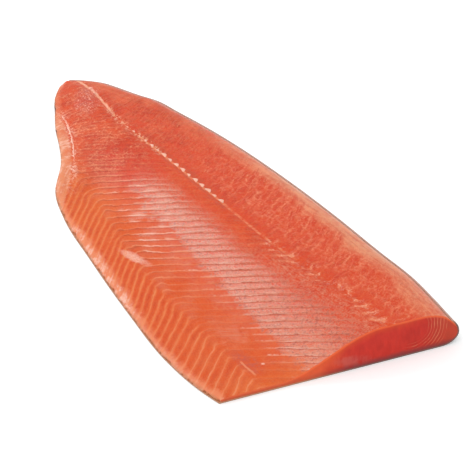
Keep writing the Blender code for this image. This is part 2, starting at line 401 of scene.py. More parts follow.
class SalmonStage(PropertyGroup):
    """Camera and studio light."""

    azimuth: angle_setting("Azimuth", "Turn of the camera round the slice", 56.57)
    elevation: angle_setting("Elevation", "Camera's height above the floor, as an angle", 36)
    distance: length_setting("Distance", "From the camera to its aim", 1.25, 0.1)
    aim: FloatVectorProperty(
        name="Aim",
        description="Point on the floor at the picture's centre",
        default=(0.0308, 0.0228, 0.0),
        unit="LENGTH",
    )
    lens: FloatProperty(name="Lens", description="Focal length in millimetres", default=147.7, unit="CAMERA")
    daylight: strength_setting("Daylight", "Strength of the light all round", 0.80)
    glow: strength_setting("Floor glow", "Light that the floor gives off", 0.19)
    key: strength_setting("Key light", "Power of the soft light from above, in watts", 9.0)
    sheen: strength_setting("Back light", "Power of the soft light that makes the wet sheen, in watts", 4.0)


def ease(t):
    t = np.clip(t, 0.0, 1.0)
    return t * t * (3.0 - 2.0 * t)


def station_curve(column):
    """A smooth curve through one column of the stations, read at every place of the profile."""
    table = np.array(STATIONS, dtype=float) * MM
    places = table[:, 0]
    values = table[:, column]
    slopes = np.gradient(values, places)
    i = np.clip(np.searchsorted(places, PROFILE_X) - 1, 0, len(places) - 2)
    span = places[i + 1] - places[i]
    t = np.clip((PROFILE_X - places[i]) / span, 0.0, 1.0)
    start = (2 * t**3 - 3 * t**2 + 1) * values[i] + (t**3 - 2 * t**2 + t) * span * slopes[i]
    end = (3 * t**2 - 2 * t**3) * values[i + 1] + (t**3 - t**2) * span * slopes[i + 1]
    return start + end


PROFILE_X = np.linspace(TAIL_X, ROWS_END, PROFILE_POINTS)
BELLY_CURVE, BACK_CURVE, HEIGHT_CURVE = (station_curve(column) for column in (1, 2, 3))


def nose(x):
    """The elliptical rounding of the tail end: 1 along the body and 0 at the tip."""
    reach = np.clip((NOSE_START - x) / NOSE, 0.0, 1.0)
    return np.sqrt(1.0 - reach**2)


def belly_edge(x):
    return NOSE_Y + (np.interp(x, PROFILE_X, BELLY_CURVE) - NOSE_Y) * nose(x)


def back_edge(x):
    return NOSE_Y + (np.interp(x, PROFILE_X, BACK_CURVE) - NOSE_Y) * nose(x)


def loin_height(x):
    return NOSE_HEIGHT + (np.interp(x, PROFILE_X, HEIGHT_CURVE) - NOSE_HEIGHT) * nose(x)


def midline(x):
    """The Y of the line that the backbone left."""
    body = MIDLINE_Y * ease(-x / MIDLINE_RUN)
    tail = ease((MIDLINE_TAIL_START - x) / MIDLINE_TAIL_RUN)
    return body + (MIDLINE_TAIL_Y - MIDLINE_Y) * tail


def fold_line(x):
    """The Y at which the seams of the belly turn back towards the cut."""
    return FOLD_Y + (FOLD_TAIL_Y - FOLD_Y) * ease((FOLD_BEND_START - x) / FOLD_BEND_RUN)


def back_radii(x):
    """The Z of the back's widest line, and the widths of its curves under and over that line."""
    height = loin_height(x)
    width = back_edge(x) - belly_edge(x)
    widest = np.maximum(BACK_WIDEST * height, BACK_WIDEST_LEAST)
    under = np.minimum(BACK_UNDER * height, BACK_UNDER_MOST * width)
    over = np.minimum(BACK_OVER * height, BACK_OVER_MOST * width)
    return widest, under, np.maximum(over, SAME)


def under_point(x, angle, inset):
    """A point under the back's widest line: the angle is 0 at the base and a right angle at that line."""
    widest, under, _ = back_radii(x)
    y = back_edge(x) - under + (under - inset) * np.sin(angle)
    return y, widest - (widest - inset) * np.cos(angle)


def over_point(x, angle, inset):
    """A point over the back's widest line, at this angle above it."""
    widest, _, over = back_radii(x)
    y = back_edge(x) - over + (over - inset) * np.cos(angle)
    return y, widest + (loin_height(x) - widest - inset) * np.sin(angle)


def rounding(x, y):
    """How far the upper surface has dropped below the loin's thickness as it rounds over the back."""
    widest, _, over = back_radii(x)
    reach = np.clip((y - (back_edge(x) - over)) / over, 0.0, ROUNDING_REACH)
    return (loin_height(x) - widest) * (1 - np.sqrt(1 - reach**2))


def top_height(x, y):
    """The height of the flesh's upper surface, without its relief."""
    height = loin_height(x)
    start = belly_edge(x)
    inward = np.sqrt(np.clip((y - start) / FLAP_EDGE_WIDTH, 0.0, 1.0))
    flap = np.minimum(FLAP, FLAP_SHARE * height) * (FLAP_EDGE + (1 - FLAP_EDGE) * inward)
    foot = np.maximum(start + MM, SLOPE_FOOT)
    top = np.maximum(midline(x), foot + 2 * SLOPE_TOP) - SLOPE_TOP
    rise = ease((y - foot) / (top - foot))
    rim_y, rim_z = over_point(x, RIM_ANGLE, SKIN + GAP)
    rim_drop = height - rounding(x, rim_y) - rim_z
    blend = ease((y - (rim_y - RIM_BLEND)) / RIM_BLEND)
    return flap * (1 - rise) + height * rise - rounding(x, y) - rim_drop * blend


def sweep(x, y, z):
    """How far a segment's seam lies along X from where it crosses the midline. The seams rake back with
    depth, so they also sweep towards the tail where the surface falls away from the loin."""
    middle = midline(x)
    height = loin_height(x)
    y = np.minimum(y, np.maximum(back_edge(x) - BACK_UNDER * height, middle + MM))
    past = fold_line(x) - y
    turned = 0.5 * (past + np.sqrt(past**2 + FOLD_SOFTNESS**2))
    leg = BELLY_LEG + (TAIL_LEG - BELLY_LEG) * ease((TAIL_LEG_START - x) / TAIL_LEG_RUN)
    belly = -BELLY_ARM * (middle - y) + (BELLY_ARM + leg) * turned
    back = -(BACK_ARM * (y - middle) + BACK_CURL * (y - middle) ** 2)
    strength = ease((x - SWEEP_FROM) / (SWEEP_FULL - SWEEP_FROM))
    return strength * (np.where(y < middle, belly, back) - RAKE * (height - z))


def waver(x, y, length):
    """Smooth unevenness between -1 and 1, with waves of about this length."""
    k = 2 * math.pi / length
    a = np.sin(k * (0.83 * x + 0.41 * y) + 1.3 * np.sin(k * 0.37 * (x - 0.6 * y)) + 0.7)
    b = np.sin(k * (0.29 * x - 0.91 * y) + 1.1 * np.sin(k * 0.53 * (y + 0.4 * x)) + 2.9)
    c = np.sin(k * (1.71 * x + 0.67 * y) + 4.1)
    return (a + b + 0.6 * c) / 2.6


def worn(x, ragged):
    """How far the belly edge of the flesh is worn back, along the fish."""
    waves = sum(share * waver(x, 0 * x + shift, length) for share, length, shift in WORN_WAVES)
    return ragged * np.clip(WORN_LEVEL + waves, 0.0, WORN_MOST)


def belly_point(x, share, ragged):
    """A point of the upper surface, this share of the way from the worn belly edge to the midline."""
    start = belly_edge(x) + worn(x, ragged) * nose(x)
    y = start + (midline(x) - start) * share
    return y, top_height(x, y)


def back_point(x, share):
    """A point of the upper surface, this share of the way from the midline to the skin's rim."""
    rim_y, _ = over_point(x, RIM_ANGLE, SKIN + GAP)
    y = midline(x) + (rim_y - midline(x)) * share
    return y, top_height(x, y)


def base_point(x, share, inset, ragged):
    """A point of the flat base, this share of the way from the belly edge to the rounded back."""
    y_wall, z_wall = under_point(x, 0.0, inset)
    start = belly_edge(x) + TRIM + worn(x, ragged) * nose(x)
    return start + (y_wall - start) * share, z_wall


def wrap(inset, ragged, columns):
    """The outline from the belly edge along the base and up the back to the skin's rim, as functions of X."""
    base_columns, wall_columns, rim_columns = columns
    shares = np.arange(base_columns) / base_columns
    base = [partial(base_point, share=share, inset=inset, ragged=ragged) for share in shares]
    turns = np.linspace(0, math.pi / 2, wall_columns, endpoint=False)
    under = [partial(under_point, angle=turn, inset=inset) for turn in turns]
    turns = np.linspace(0, RIM_ANGLE, rim_columns)
    over = [partial(over_point, angle=turn, inset=inset) for turn in turns]
    return base + under + over


def section(outline, x):
    """Y and Z of every column of an outline, at that column's own X."""
    points = [point(x[:, column]) for column, point in enumerate(outline)]
    return [np.stack(values, axis=1) for values in zip(*points)]


def solve(outline, shape, past):
    """The X of each row and column where past, which grows with X, reaches 0."""
    low = np.full(shape, TAIL_X)
    high = np.full(shape, ROWS_END)
    for _ in range(SEARCH_STEPS):
        x = 0.5 * (low + high)
        beyond = past(x, *section(outline, x)) > 0
        high = np.where(beyond, x, high)
        low = np.where(beyond, low, x)
    return x


def rows_to_cut(outline, spacing, swept):
    """Rings of points from the tail's tip to the knife cut, where every column ends on the cut's plane."""
    columns = len(outline)
    turns = np.linspace(NOSE_BLUNT, 0, NOSE_ROWS, endpoint=False)
    tip = NOSE_START - NOSE * np.sin(turns)
    body = np.arange(NOSE_START, ROWS_END, spacing)
    place = np.repeat(np.concatenate([tip, body])[:, None], columns, axis=1)
    x = place.copy()
    if swept:
        x = solve(outline, place.shape, lambda x, y, z: x - sweep(x, y, top_height(x, y)) - place)
        x[:NOSE_ROWS] = place[:NOSE_ROWS]
    last = solve(outline, (1, columns), lambda x, y, z: x - CUT_SLANT * y + CUT_LEAN * z - CUT_X)
    x = np.minimum(np.vstack([x, np.full(columns, ROWS_END)]), last)
    return np.stack([x, *section(outline, x)], axis=2)


def centre():
    """Where the midline's end at the cut lies in the frame."""
    x = np.linspace(TAIL_X, CUT_X, EDGE_POINTS)
    y = (back_edge(x).max() + belly_edge(x).min()) / 2
    tip = NOSE_START - NOSE * math.sin(NOSE_BLUNT) - NOSE_CAP_PUSH
    return Vector((CAD_BOX[0].x + TRIM / 2 - tip, -y, 0))


CENTRE = centre()


def nose_cap(shape, ring):
    """Closes the tail's tip with a smaller ring and a face."""
    middle = sum((vert.co for vert in ring), Vector()) / len(ring)
    inner = []
    for vert in ring:
        place = middle + (vert.co - middle) * NOSE_CAP_SHARE
        place.x -= NOSE_CAP_PUSH
        inner.append(shape.verts.new(place))
    for j in range(len(ring)):
        k = (j + 1) % len(ring)
        shape.faces.new((ring[j], inner[j], inner[k], ring[k]))
    shape.faces.new(inner)


def tube(points):
    """The skin of quads through the rings, its tip closed, and its last ring."""
    shape = bmesh.new()
    rings = [[shape.verts.new(point) for point in ring] for ring in points]
    for ring, after in zip(rings, rings[1:]):
        for j in range(len(ring)):
            k = (j + 1) % len(ring)
            shape.faces.new((ring[j], ring[k], after[k], after[j]))
    nose_cap(shape, rings[0])
    return shape, rings[-1]


def on_cut(y, z):
    return CUT_X + CUT_SLANT * y - CUT_LEAN * z, y, z


def cut_face(shape, ring, top_columns):
    """Closes the knife cut: fine levels that follow the upper edge, and one face under them."""
    top = ring[:top_columns]
    rim = ring[top_columns]
    below = ring[top_columns + RIM_COLUMNS :][::-1]
    floor_y = [vert.co.y for vert in below]
    floor_z = [vert.co.z for vert in below]
    level = top + [rim]
    for depth in CUT_DEPTHS:
        after = [top[0]]
        for vert in top[1:]:
            room = CUT_ROOM * (vert.co.z - np.interp(vert.co.y, floor_y, floor_z))
            drop = room * (1 - math.exp(-depth / room))
            after.append(shape.verts.new(on_cut(vert.co.y, vert.co.z - drop)))
        after.append(rim)
        for j in range(len(level) - 1):
            corners = (level[j], level[j + 1], after[j + 1], after[j])
            face = shape.faces.new(list(dict.fromkeys(corners)))
            face.material_index = 1
        level = after
    face = shape.faces.new(level + ring[top_columns + 1 :])
    face.material_index = 1


def finish_mesh(name, shape):
    """A mesh from the shape, with the points that fall together merged and its faces turned outwards."""
    bmesh.ops.remove_doubles(shape, verts=shape.verts, dist=MERGED)
    bmesh.ops.dissolve_degenerate(shape, edges=shape.edges, dist=MERGED)
    many = [face for face in shape.faces if len(face.verts) > 4]
    bmesh.ops.triangulate(shape, faces=many, ngon_method="BEAUTY")
    bmesh.ops.recalc_face_normals(shape, faces=shape.faces)
    mesh = bpy.data.meshes.new(name)
    shape.to_mesh(mesh)
    shape.free()
    mesh.shade_smooth()
    mesh.set_sharp_from_angle(angle=SHARP)
    return mesh


def coordinates(mesh):
    flat = np.zeros(len(mesh.vertices) * 3)
    mesh.vertices.foreach_get("co", flat)
    return flat.reshape(-1, 3).T


def write_attributes(mesh, layout):
    for name, values in layout.items():
        layer = mesh.attributes.new(name, "FLOAT", "POINT")
        layer.data.foreach_set("value", values.astype(np.float32))


def into_place(name, mesh):
    """An object at the origin whose mesh lies where the frame has it."""
    for vert in mesh.vertices:
        vert.co += CENTRE
    made = bpy.data.objects.new(name, mesh)
    bpy.context.scene.collection.objects.link(made)
    return made


class Wire:
    """A socket of a node tree. Arithmetic on it adds Math nodes."""

    def __init__(self, graph, socket):
        self.graph = graph
        self.socket = socket

    def maths(self, operation, *values):
        return self.graph.add("ShaderNodeMath", {"operation": operation}, dict(enumerate(values)))

    def __add__(self, other):
        return self.maths("ADD", self, other)

    __radd__ = __add__

    def __sub__(self, other):
        return self.maths("SUBTRACT", self, other)

    def __rsub__(self, other):
        return self.maths("SUBTRACT", other, self)

    def __mul__(self, other):
        return self.maths("MULTIPLY", self, other)

    __rmul__ = __mul__

    def __truediv__(self, other):
        return self.maths("DIVIDE", self, other)

    def __rtruediv__(self, other):
        return self.maths("DIVIDE", other, self)

    def __neg__(self):
        return self.maths("MULTIPLY", self, -1.0)

    def __pow__(self, other):
        return self.maths("POWER", self, other)

    def __rpow__(self, other):
        return self.maths("POWER", other, self)

    def __abs__(self):
        return self.maths("ABSOLUTE", self)

    def fraction(self):
        return self.maths("FRACT", self)

    def whole(self):
        return self.maths("FLOOR", self)

    def most(self, other):
        return self.maths("MAXIMUM", self, other)


class Graph:
    """A node tree that is built by calls."""

    def __init__(self, tree):
        self.tree = tree

    def feed(self, socket, value):
        if isinstance(value, Wire):
            self.tree.links.new(value.socket, socket)
        else:
            socket.default_value = value

    def add(self, kind, settings=None, sockets=None, output=0):
        """Adds a node, sets it up, feeds its sockets, and returns one of its outputs."""
        node = self.tree.nodes.new(kind)
        for name, value in (settings or {}).items():
            setattr(node, name, value)
        for key, value in (sockets or {}).items():
            self.feed(node.inputs[key], value)
        return Wire(self, node.outputs[output])

    def attribute(self, name):
        return self.add("ShaderNodeAttribute", {"attribute_name": name}, output="Fac")

    def split(self, vector):
        node = self.add("ShaderNodeSeparateXYZ", None, {0: vector}).socket.node
        return [Wire(self, socket) for socket in node.outputs]

    def join(self, x, y, z):
        return self.add("ShaderNodeCombineXYZ", None, {0: x, 1: y, 2: z})

    def stretch(self, vector, factors):
        return self.add("ShaderNodeVectorMath", {"operation": "MULTIPLY"}, {0: vector, 1: factors})

    def smooth(self, value, low, high):
        """0 at low and 1 at high, smooth between them, and level past them. Low may be the greater."""
        if low > high:
            return 1 - self.smooth(value, high, low)
        settings = {"interpolation_type": "SMOOTHSTEP"}
        return self.add("ShaderNodeMapRange", settings, {"Value": value, "From Min": low, "From Max": high})

    def noise(self, vector, scale, detail=2.0, roughness=0.5, distortion=0.0):
        """Uneven values about 0, mostly between -1 and 1."""
        values = {"Vector": vector, "Scale": scale, "Detail": detail, "Roughness": roughness}
        return 4 * self.add("ShaderNodeTexNoise", None, {**values, "Distortion": distortion}) - 2

    def mix(self, factor, a, b, blend="MIX"):
        settings = {"data_type": "RGBA", "blend_type": blend, "clamp_factor": True}
        return self.add("ShaderNodeMix", settings, {0: factor, 6: a, 7: b}, output=2)


def rgba(shade):
    return (*shade, 1.0)


class Paint:
    """A colour built up in layers. Each colour is laid on, or each tint multiplied in, by its amount."""

    def __init__(self, graph, shade):
        self.graph = graph
        self.colour = rgba(shade)

    def lay(self, amount, shade):
        self.colour = self.graph.mix(amount, self.colour, rgba(shade))

    def darken(self, amount, tint):
        dark = self.graph.mix(1.0, self.colour, rgba(tint), "MULTIPLY")
        self.colour = self.graph.mix(amount, self.colour, dark)


def new_finish(name, values):
    """A material, its graph and its Principled shader, whose constants are set on their sockets."""
    made = bpy.data.materials.new(name)
    made.use_nodes = True
    shader = made.node_tree.nodes["Principled BSDF"]
    for socket, value in {**WET, **values}.items():
        shader.inputs[socket].default_value = value
    return made, Graph(made.node_tree), shader


def bump(graph, shader, height, distance):
    values = {"Height": height, "Distance": distance}
    graph.feed(shader.inputs["Normal"], graph.add("ShaderNodeBump", None, values))


def oval(g, x, y, mark, stray=0.0):
    """1 in the middle of an oval mark, and 0 past its edge, which the stray makes uneven."""
    mark_x, mark_y, half_length, half_width, turn = mark
    across = x - mark_x
    up = y - mark_y
    c = math.cos(turn)
    s = math.sin(turn)
    u = (across * c + up * s) / half_length
    v = (up * c - across * s) / half_width
    return g.smooth(u * u + v * v + stray, 1.5, 0.0)


def along(g, x, stretch):
    """1 on a stretch of the fish, and 0 past its end or ends."""
    ends = [g.smooth(x, none, full) for none, full in STRETCHES[stretch]]
    return math.prod(ends[1:], start=ends[0])


def flesh_fields(g, sizes):
    """What the marks on the flesh follow: its places, its segments, and unevenness of several sizes."""
    where = g.add("ShaderNodeTexCoord", output="Object")
    world_x, world_y, _ = g.split(where)
    f = SimpleNamespace(where=where, x=world_x - CENTRE.x, y=world_y - CENTRE.y)
    for name in ("place", "across", "belly", "back", "fold", "rim"):
        setattr(f, name, g.attribute(name))
    for name, (scale, detail, roughness) in UNEVENNESS.items():
        setattr(f, name, g.noise(where, scale, detail, roughness))
    f.curls = g.smooth(abs(g.noise(where, 300.0, 1.0, 0.5, 1.2)), 0.26, 0.08)
    run = f.place * sizes.segment
    flat = g.join(run, f.across, 0.0)
    f.streaks = g.noise(g.stretch(flat, STREAKS), 1.0, 2.0, 0.6)
    f.threads = g.noise(g.stretch(flat, THREADS), 1.0, 2.0)
    bent = g.join(run * NET_ALONG + 0.45 * f.mottle, f.across * NET_ACROSS + 0.30 * f.patches, 0.0)
    cells = g.add("ShaderNodeTexVoronoi", {"feature": "DISTANCE_TO_EDGE"}, {"Vector": bent, "Scale": 1.0})
    f.net = g.smooth(cells, 0.12, 0.02)
    f.dorsal = g.smooth(f.across, -0.003, 0.006)
    f.legs = g.smooth(f.fold, -0.003, 0.004) * (1 - f.dorsal)
    f.arms = (1 - f.legs) * (1 - f.dorsal)
    f.near_cut = along(g, f.x, "by the cut")
    f.near_tail = along(g, f.x, "by the tail")
    by_fold = g.smooth(abs(f.fold + 0.002), 0.013, 0.002) * (1 - f.dorsal)
    by_line = g.smooth(abs(f.across), 0.014, 0.006)
    rough = by_fold * (0.24 * f.patches + 0.10 * f.mottle) + by_line * (0.20 * f.patches + 0.16 * f.mottle)
    rough = rough + f.dorsal * (0.16 * f.mottle + 0.14 * f.patches) + f.arms * 0.016 * f.grain
    segment = f.place + rough + 0.030 * f.threads + 0.028 * f.grain + 0.030 * f.mottle
    f.into = segment.fraction()
    f.seam = 0.5 - abs(f.into - 0.5)
    f.draw = g.noise(g.join(segment.whole() * 3.77, 0.31, 0.0), 1.0, 0.0)

    # How far inside the film's uneven edge a place is, and the film with its painted sheen, which fades out
    # by the midline
    stray = 0.0017 * f.draw + 0.0008 * f.threads + 0.0015 * f.grain + 0.0018 * f.broad + 0.0012 * f.mottle
    f.film_in = f.y + FILM_SLANT * f.x - FILM_EDGE + stray
    fade = g.smooth(f.across + 0.004 * f.broad + 0.003 * f.mottle, -0.009, -0.025)
    start = along(g, f.x + 0.008 * f.broad - 0.5 * f.y, "film_and_sheen")
    torn = g.smooth(f.patches + 0.5 * f.draw + 0.7 * f.threads, -0.1, 0.7)
    torn = torn * g.smooth(f.film_in, -0.018, -0.012) * along(g, f.x, "torn film")
    f.film_and_sheen = g.smooth(f.film_in, -0.0015, 0.0045) * fade * start
    f.film_and_sheen = f.film_and_sheen.most(0.85 * torn * fade)
    inner = g.smooth(f.film_in + 0.010 * f.near_cut + 0.004 * f.threads, 0.018, 0.030)
    f.inner = inner * (0.45 + 0.50 * f.near_cut)
    # The grooves: painted shade down in the film's seams
    f.groove = g.smooth(f.seam, 0.07, 0.02) * f.film_and_sheen * (1 - f.inner)
    return f


def body_colour(g, f, colours):
    """The flesh from the orange flap to the red back, in short uneven strokes of lighter and darker red."""
    paint = Paint(g, colours.flap)
    paint.lay(g.smooth(f.across + 0.006 * f.broad, -0.062, -0.018), colours.loin)
    paint.lay(f.dorsal, colours.back)
    ochre = 0.35 + 0.65 * along(g, f.x + 0.010 * f.broad, "ochre by the tail")
    ochre = ochre.most(along(g, f.x, "ochre by the cut")) * g.smooth(f.across, -0.030, -0.055)
    paint.lay(ochre * 0.95, colours.ochre)
    patch = oval(g, f.x, f.y, RED_PATCH, 0.35 * f.mottle)
    paint.lay(patch * (0.80 + 0.40 * f.patches + 0.35 * f.grain), colours.deep)
    deep = along(g, f.x, "deep red") * g.smooth(abs(f.across + 0.012), 0.012, 0.004)
    paint.lay(deep * g.smooth(f.mottle, -0.8, 0.5) * 0.45, colours.deep)
    red = g.smooth(f.across + 0.004 * f.broad, -0.045, -0.014)
    strokes = 0.50 * f.streaks + 0.40 * f.threads + 0.50 * f.mottle + 0.35 * f.grain + 0.20 * f.broad
    paint.darken(0.16 + (0.40 + 0.55 * red) * strokes, STROKE_TINT)
    paler = 0.10 + 0.05 * f.patches + 0.20 * f.speckle + 0.12 * f.grain + (0.04 + 0.10 * red) * f.streaks
    paint.lay(paler, colours.seam)
    return paint


def film_and_sheen_colour(g, f, paint, colours):
    """The pink film, partly a painted sheen, with painted highlights and shade by its segments, and a veil by
    the midline.
    """
    veil = g.smooth(f.across + 0.003 * f.mottle, -0.001, -0.009) * g.smooth(f.across, -0.034, -0.022)
    veil = veil * (1 - f.film_and_sheen) * along(g, f.x, "veil")
    paint.lay(veil * (0.20 + 0.26 * f.speckle + 0.20 * f.grain), colours.film_and_sheen)
    by_corner = f.near_cut * g.smooth(f.film_in, 0.014, 0.030)
    rough = 0.30 * f.speckle + 0.26 * f.grain + 0.18 * f.streaks + 0.16 * f.mottle + 0.05 * f.draw
    # Painted highlight: the film brightens towards each segment's lower edge
    bright = 0.40 + 0.28 * g.smooth(f.into, 0.35, 0.92)
    paint.lay(f.film_and_sheen * (bright + rough - 0.16 * by_corner), colours.film_and_sheen)
    specks = f.film_and_sheen * g.smooth(0.5 * f.speckle + 0.8 * f.grain + 0.5 * f.streaks, 0.05, 0.60)
    fringe = g.smooth(f.film_in, 0.012, 0.003)
    paint.darken(specks * (0.70 + 0.50 * fringe + 0.15 * f.near_cut), SPECK_TINT)
    outer = 0.35 + 0.65 * g.smooth(f.film_in, 0.026, 0.010)
    strokes = g.smooth(f.streaks + 0.5 * f.speckle, 0.35, 0.95) * outer
    paint.lay(f.film_and_sheen * strokes * 0.45, colours.white)
    # Painted shade down in the grooves and just past each seam, broken up unevenly
    worn = g.smooth(f.threads + 0.5 * f.draw + 0.5 * f.patches, -0.7, 0.3)
    groove = f.groove * worn * (0.60 - 0.24 * f.near_cut + 0.25 * f.threads + 0.20 * f.grain)
    paint.lay(g.smooth(f.into, 0.34, 0.03) * f.film_and_sheen * (0.50 - 0.34 * f.inner) + groove, colours.groove)
    # Painted highlight along each segment's lip
    lip_highlight = g.smooth(f.into, 0.78, 0.92) * f.film_and_sheen * g.smooth(f.film_in + 0.004 * f.threads, 0.024, 0.004)
    paint.lay(lip_highlight * (0.58 + 0.36 * f.streaks), colours.white)
    # Painted highlights on the crests of the arms by the film's edge
    by_film = g.smooth(f.film_in + 0.003 * f.grain + 0.003 * f.patches, -0.0085, -0.001)
    by_film = by_film * g.smooth(f.film_in, 0.0030, 0.0)
    tip = g.smooth(f.into, 0.74, 0.92) * by_film * (1 - f.legs) * (1 - f.near_tail)
    paint.lay(tip * (0.26 + 0.45 * f.threads + 0.35 * f.draw), colours.white)


def belly_seam_colour(g, f, paint, colours):
    """The seams of the belly: soft and broad on the flap, and fine, white or dark on the arms."""
    body = along(g, f.x, "body")
    clear = (1 - f.film_and_sheen) * body
    between = (f.legs + 0.5 * f.arms) * g.smooth(f.seam, 0.22, 0.42) * (0.55 + 0.35 * f.mottle)
    paint.darken(between * clear, BETWEEN_TINT)
    uneven = 0.52 + 0.14 * f.draw + 0.24 * f.threads + 0.18 * f.grain
    paint.lay(f.legs * g.smooth(f.seam, 0.26, 0.06) * uneven * (1 - 0.6 * f.near_cut) * clear, colours.seam)
    cloudy = f.arms * body * g.smooth(f.film_in, 0.001, -0.003) * (1 - 0.7 * f.near_cut)
    paint.lay(cloudy * (0.03 + 0.16 * f.patches + 0.14 * f.streaks + 0.08 * f.broad), colours.film_and_sheen)
    fine = f.arms * g.smooth(f.seam, 0.15, 0.04) * (0.46 + 0.30 * f.threads + 0.22 * f.patches)
    fine = fine * (0.15 + 0.85 * g.smooth(f.across, -0.022, -0.038))
    fine = fine * (0.30 + 0.70 * along(g, f.x, "fine seams"))
    paint.lay(fine * clear, colours.pale_seam)
    past = f.arms * clear * g.smooth(f.into, 0.42, 0.10) * g.smooth(f.across, -0.018, -0.032)
    past = past * (0.20 + 0.80 * along(g, f.x + 0.010 * f.broad, "dark lines"))
    paint.darken(past * (0.85 + 0.5 * f.streaks + 0.4 * f.grain), PAST_TINT)
    broken = g.smooth(f.streaks + 0.6 * f.threads + 0.6 * f.patches, -0.55, 0.25)
    white = f.arms * g.smooth(f.seam, 0.13, 0.03) * broken * along(g, f.x, "white lines")
    white = white * g.smooth(f.fold, -0.006, -0.011) * g.smooth(f.across, -0.020, -0.030)
    paint.lay(white * 0.75, colours.white)
    bright = f.legs * (f.near_cut * 0.44 + 0.10) * g.smooth(f.seam, 0.12, 0.03) * (0.9 + 0.5 * f.threads)
    paint.lay(bright * clear, colours.pale_seam)
    paint.lay(f.legs * f.near_cut * (0.12 + 0.12 * f.patches), colours.seam)


def back_seam_colour(g, f, paint, colours):
    """The seams of the back, broken up into strokes, a pale net and curls."""
    thick = along(g, f.x + 0.010 * f.broad, "thick back")
    between = f.dorsal * thick * g.smooth(f.seam + 0.1 * f.mottle, 0.20, 0.42)
    paint.lay(between * (0.22 + 0.20 * f.patches + 0.20 * f.grain), colours.deep)
    shown = g.smooth(f.patches + 0.8 * f.mottle, -0.60, 0.50) * g.smooth(f.across, 0.002, 0.009)
    stripe = f.dorsal * g.smooth(f.seam, 0.17, 0.04) * shown * (0.12 + 0.88 * thick)
    paint.lay(stripe * (0.34 + 0.25 * f.grain + 0.12 * f.streaks), colours.vein)
    off_line = f.dorsal * g.smooth(f.across, 0.006, 0.014)
    net = off_line * f.net * (0.10 + 0.90 * thick)
    paint.lay(net * (0.26 + 0.25 * f.grain + 0.15 * f.mottle), colours.vein)
    curled = off_line * f.curls * g.smooth(f.grain - 0.3 * f.broad, -0.1, 0.5)
    paint.lay(curled * (0.14 + 0.16 * thick), colours.pale_seam)


def edge_colour(g, f, paint, colours):
    """The band of fat with its long fine lines along the back, and the worn, pale belly edge."""
    fat = g.smooth(f.back + 0.006 * f.broad + 0.004 * f.mottle + 0.002 * f.streaks, 0.025, 0.012) * f.dorsal
    fat = fat * (0.26 + 0.74 * along(g, f.x + 0.010 * f.mottle, "fat"))
    fat = fat * (1 - 0.40 * along(g, f.x, "less fat"))
    paint.lay(fat * (0.74 + 0.20 * f.mottle + 0.15 * f.grain), colours.band)
    lines = g.noise(g.stretch(g.join(f.x + 0.8 * f.back, f.back, 0.0), FAT_LINES), 1.0, 2.0)
    paint.lay(fat * g.smooth(lines, 0.10, 0.50) * 0.60, colours.pale_seam)
    paint.darken(fat * g.smooth(lines, -0.10, -0.50) * 0.65, LINE_TINT)
    wide = along(g, f.x, "wide rim")
    rim = f.belly + 0.0018 * f.mottle + 0.0010 * f.draw + 0.0010 * f.grain - 0.0024 * wide
    pale = g.smooth(rim, 0.0068, 0.0008) * (0.7 + 0.3 * along(g, f.x, "clear rim"))
    paint.lay(pale * 0.62, colours.pale_seam)
    shreds = g.smooth(f.mottle + 0.8 * f.threads + 0.25 * f.grain, -0.2, 0.7)
    shreds = shreds * g.smooth(rim, 0.0050, 0.0014) * (0.25 + 0.75 * wide.most(along(g, f.x, "tail rim")))
    paint.lay(shreds * (0.70 + 0.30 * f.speckle), colours.white)
    edge = g.smooth(f.belly + 0.0006 * f.mottle, 0.0018, 0.0002) * (0.50 + 0.30 * along(g, f.x, "dark edge"))
    paint.lay(edge, colours.skin_edge)
    by_skin = g.smooth(f.rim + 0.0007 * f.mottle + 0.0005 * f.broad, 0.0032, 0.0006) * f.dorsal
    paint.lay(by_skin * 0.62, colours.skin_rim)


def midline_colour(g, f, paint, colours):
    """The white end of the line by the tail, the strand between the pin bones with painted shade either side,
    and dashes by the cut.
    """
    across = f.across + 0.0005 * f.mottle
    off = abs(across)
    strand = along(g, f.x, "strand")
    # Painted shade in a line either side of the strand
    below = g.smooth(abs(across + 0.0020), 0.0015, 0.0005) * (0.55 + 0.25 * f.grain)
    above = g.smooth(abs(across - 0.0026), 0.0026, 0.0010) * (0.55 + 0.35 * f.grain + 0.30 * f.mottle)
    paint.lay(below.most(above) * strand, colours.groove)
    weak = along(g, f.x, "weak strand") * (0.25 + 0.3 * f.grain)
    thin = along(g, f.x, "thin strand") * (0.36 + 0.3 * f.mottle + 0.4 * f.grain)
    joined = strand * (0.50 + 0.2 * f.speckle) + weak + thin
    paint.lay(g.smooth(off, 0.0012, 0.0005) * joined, colours.pale_seam)
    tail = g.smooth(abs(f.across - 0.0008 + 0.0008 * f.mottle), 0.0014, 0.0004) * along(g, f.x, "tail line")
    paint.lay(tail * (0.95 + 0.3 * f.speckle), colours.white)
    bits = g.smooth(f.grain + 0.6 * f.mottle, 0.0, 0.5) * g.smooth(off, 0.0038, 0.0014)
    paint.lay(bits * along(g, f.x, "white bits") * 0.75, colours.white)
    by_cut = along(g, f.x + 0.006 * f.broad, "dashes")
    dashes = g.smooth(f.seam + 0.04 * f.grain, 0.20, 0.07) * g.smooth(abs(across + 0.0012), 0.0070, 0.0025)
    dashes = dashes * g.smooth(f.patches + 0.9 * f.mottle + 0.3 * f.grain, -0.3, 0.4)
    cells = f.net * g.smooth(abs(across - 0.001), 0.0080, 0.0030)
    cells = cells * g.smooth(f.patches + 0.5 * f.mottle, -0.1, 0.5)
    dashes = dashes.most(cells * 0.5) * by_cut
    paint.lay(dashes * 0.60, colours.pale_seam)
    hooks = f.curls * g.smooth(off, 0.0060, 0.0022) * g.smooth(f.grain + f.mottle, -0.2, 0.5) * by_cut
    paint.lay(hooks * 0.20 + dashes * g.smooth(f.speckle, 0.0, 0.7) * 0.45, colours.white)


